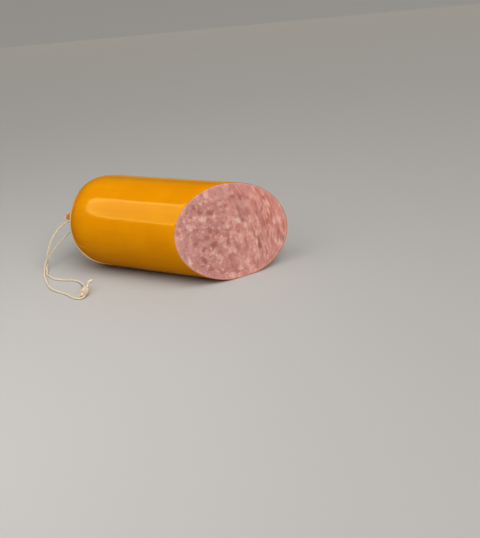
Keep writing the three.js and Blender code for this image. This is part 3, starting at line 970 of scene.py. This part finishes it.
# ---------------------------------------------------------------------------------------------
# Surface and light. A plain pale floor and backdrop; a soft box above the left front, which the
# film mirrors as a band; a soft fill for the cut face; and two glows that only edge the outline.
FLOOR_COLOUR = (0.42, 0.41, 0.395, 1.0)
FLOOR_REACH = 40.0
BACKDROP_COLOUR = (0.275, 0.268, 0.25, 1.0)
floor_mesh = bpy.data.meshes.new("floor")
floor_corners = [(-1, -1, 0), (1, -1, 0), (1, 1, 0), (-1, 1, 0)]
floor_mesh.from_pydata((np.array(floor_corners) * FLOOR_REACH).tolist(), [], [(0, 1, 2, 3)])
floor = bpy.data.objects.new("floor", floor_mesh)
scene.collection.objects.link(floor)
floor_material = bpy.data.materials.new("pale_floor")
floor_material.use_nodes = True
floor_shader = floor_material.node_tree.nodes["Principled BSDF"]
floor_shader.inputs["Base Color"].default_value = FLOOR_COLOUR
floor_shader.inputs["Roughness"].default_value = 0.7
floor.data.materials.append(floor_material)
floor.visible_glossy = False


def soft_box(name, place, facing, size, radiance, colour=(1.0, 1.0, 1.0)):
    """A rectangular area light with two sides level, facing along a direction; its power comes from
    the brightness of its face: watts = radiance x area x pi."""
    lamp = bpy.data.lights.new(name, "AREA")
    lamp.shape = "RECTANGLE"
    lamp.size, lamp.size_y = size
    lamp.energy = radiance * size[0] * size[1] * math.pi
    lamp.color = colour
    light = bpy.data.objects.new(name, lamp)
    back = -np.array(facing) / np.linalg.norm(facing)
    sideways = np.cross([0, 0, 1.0], back)
    sideways /= np.linalg.norm(sideways)
    light.matrix_world = Matrix.Translation(place) @ Matrix(
        np.stack([sideways, np.cross(back, sideways), back], axis=1).tolist()
    ).to_4x4()
    light.visible_camera = False
    scene.collection.objects.link(light)
    return light


# The band box is square at its right end and half round at its left, with a brighter border. It
# only shows in the film: a key just in front of it lights everything else.
BAND_PLACE = np.array([-0.205, -0.299, 0.404])
BAND_FACING = np.array([0.0, 0.547, -0.837])
BAND_RISE = np.array([0.0, 0.837, 0.547])
BAND_WIDE = 0.47
BAND_TALL = 0.425
BAND_ROUND = 0.05  # the depth of its half oval end
BAND_BORDER = 0.042
BAND_END_BORDER = 0.0336
BAND_RADIANCE = 2.5
BAND_BORDER_RADIANCE = 5.0


def band_outline(inset, end_inset):
    """Corners of the band box pulled in by two insets, one for its long sides and one for its half
    oval end."""
    half = BAND_TALL / 2 - inset
    turn = np.linspace(np.pi / 2, 3 * np.pi / 2, 33)
    left_end = end_inset + BAND_ROUND * (1 + np.cos(turn)) - BAND_WIDE / 2
    along = np.concatenate([[BAND_WIDE / 2], left_end, [BAND_WIDE / 2]])
    up = np.concatenate([[half], half * np.sin(turn), [-half]])
    return BAND_PLACE + along[:, None] * np.array([1.0, 0.0, 0.0]) + up[:, None] * BAND_RISE


corners = np.concatenate([band_outline(0, 0), band_outline(BAND_BORDER, BAND_END_BORDER)])
count = len(corners) // 2
border = [(k, k + 1, count + k + 1, count + k) for k in range(count - 1)]
band_mesh = bpy.data.meshes.new("band_box")
band_mesh.from_pydata(corners.tolist(), [], border + [tuple(range(count, 2 * count))])
for name, radiance in (("band_edge", BAND_BORDER_RADIANCE), ("band_middle", BAND_RADIANCE)):
    glow = bpy.data.materials.new(name)
    glow.use_nodes = True
    glow_shader = glow.node_tree.nodes["Principled BSDF"]
    glow_shader.inputs["Base Color"].default_value = (0, 0, 0, 1)
    glow_shader.inputs["Emission Color"].default_value = (1, 1, 1, 1)
    glow_shader.inputs["Emission Strength"].default_value = radiance
    band_mesh.materials.append(glow)
band_mesh.polygons[len(border)].material_index = 1
band_box = bpy.data.objects.new("band_box", band_mesh)
scene.collection.objects.link(band_box)
band_box.visible_camera = False
band_box.visible_shadow = False

# Two glows for the outline, seen in the film only: a low wide one far behind gives the top its pale
# line, and one low on the left gives it to the dome.
BACK_GLOW_PLACE = (-0.5, 1.5, -0.12)
BACK_GLOW_FACING = (0.5, -1.5, 0.2)
BACK_GLOW_SIZE = (2.2, 0.85)
BACK_GLOW_RADIANCE = 0.4
BACK_GLOW_COLOUR = (1.0, 0.78, 0.3)
SIDE_GLOW_PLACE = (-1.0, 0.43, -0.33)
SIDE_GLOW_FACING = (0.9, -0.42, 0.3)
SIDE_GLOW_SIZE = (0.42, 0.95)
SIDE_GLOW_RADIANCE = 0.9
SIDE_GLOW_COLOUR = (1.0, 0.9, 0.62)
back_glow = soft_box(
    "back_strip", BACK_GLOW_PLACE, BACK_GLOW_FACING, BACK_GLOW_SIZE,
    BACK_GLOW_RADIANCE, BACK_GLOW_COLOUR,
)
side_glow = soft_box(
    "rim_glow", SIDE_GLOW_PLACE, SIDE_GLOW_FACING, SIDE_GLOW_SIZE,
    SIDE_GLOW_RADIANCE, SIDE_GLOW_COLOUR,
)
for light in (band_box, back_glow, side_glow):
    light.visible_diffuse = False

# The key and a broad sun shape everything but do not show in the film; the fill does both.
KEY_OFFSET = np.array([0.15, 0.003, -0.005])  # from the band box
KEY_RADIANCE = 1.9
FILL_PLACE = (0.85, -0.6, 0.75)
FILL_FACING = (-0.8, 0.6, -0.7)
FILL_SIZE = (0.8, 0.7)
FILL_RADIANCE = 2.3
SUN_STRENGTH = 2.1
SUN_SPREAD = math.radians(50)
SUN_TURN = (math.radians(12), math.radians(34), 0)
key_place = BAND_PLACE + KEY_OFFSET
key = soft_box("band_key", key_place, BAND_FACING, (BAND_WIDE, BAND_TALL), KEY_RADIANCE)
key.visible_glossy = False
soft_box("front_fill", FILL_PLACE, FILL_FACING, FILL_SIZE, FILL_RADIANCE)
sun = bpy.data.objects.new("top_sun", bpy.data.lights.new("top_sun", "SUN"))
sun.data.energy = SUN_STRENGTH
sun.data.angle = SUN_SPREAD
sun.rotation_euler = SUN_TURN
sun.visible_glossy = False
scene.collection.objects.link(sun)

# The world: a warm, even light, nearly dark where the film mirrors it and plain behind everything.
WORLD_COLOUR = (1.0, 0.93, 0.82, 1.0)
WORLD_STRENGTH = 0.22
WORLD_MIRRORED = 0.02
world = bpy.data.worlds.new("studio")
scene.world = world
world.use_nodes = True
nodes, links = world.node_tree.nodes, world.node_tree.links
even = nodes["Background"]
even.inputs["Color"].default_value = WORLD_COLOUR
even.inputs["Strength"].default_value = WORLD_STRENGTH
dark = nodes.new("ShaderNodeBackground")
dark.inputs["Color"].default_value = WORLD_COLOUR
dark.inputs["Strength"].default_value = WORLD_MIRRORED
seen = nodes.new("ShaderNodeBackground")
seen.inputs["Color"].default_value = BACKDROP_COLOUR
ray = nodes.new("ShaderNodeLightPath")
mirror_mix = nodes.new("ShaderNodeMixShader")
seen_mix = nodes.new("ShaderNodeMixShader")
links.new(ray.outputs["Is Glossy Ray"], mirror_mix.inputs["Fac"])
links.new(even.outputs["Background"], mirror_mix.inputs[1])
links.new(dark.outputs["Background"], mirror_mix.inputs[2])
links.new(ray.outputs["Is Camera Ray"], seen_mix.inputs["Fac"])
links.new(mirror_mix.outputs["Shader"], seen_mix.inputs[1])
links.new(seen.outputs["Background"], seen_mix.inputs[2])
links.new(seen_mix.outputs["Shader"], nodes["World Output"].inputs["Surface"])
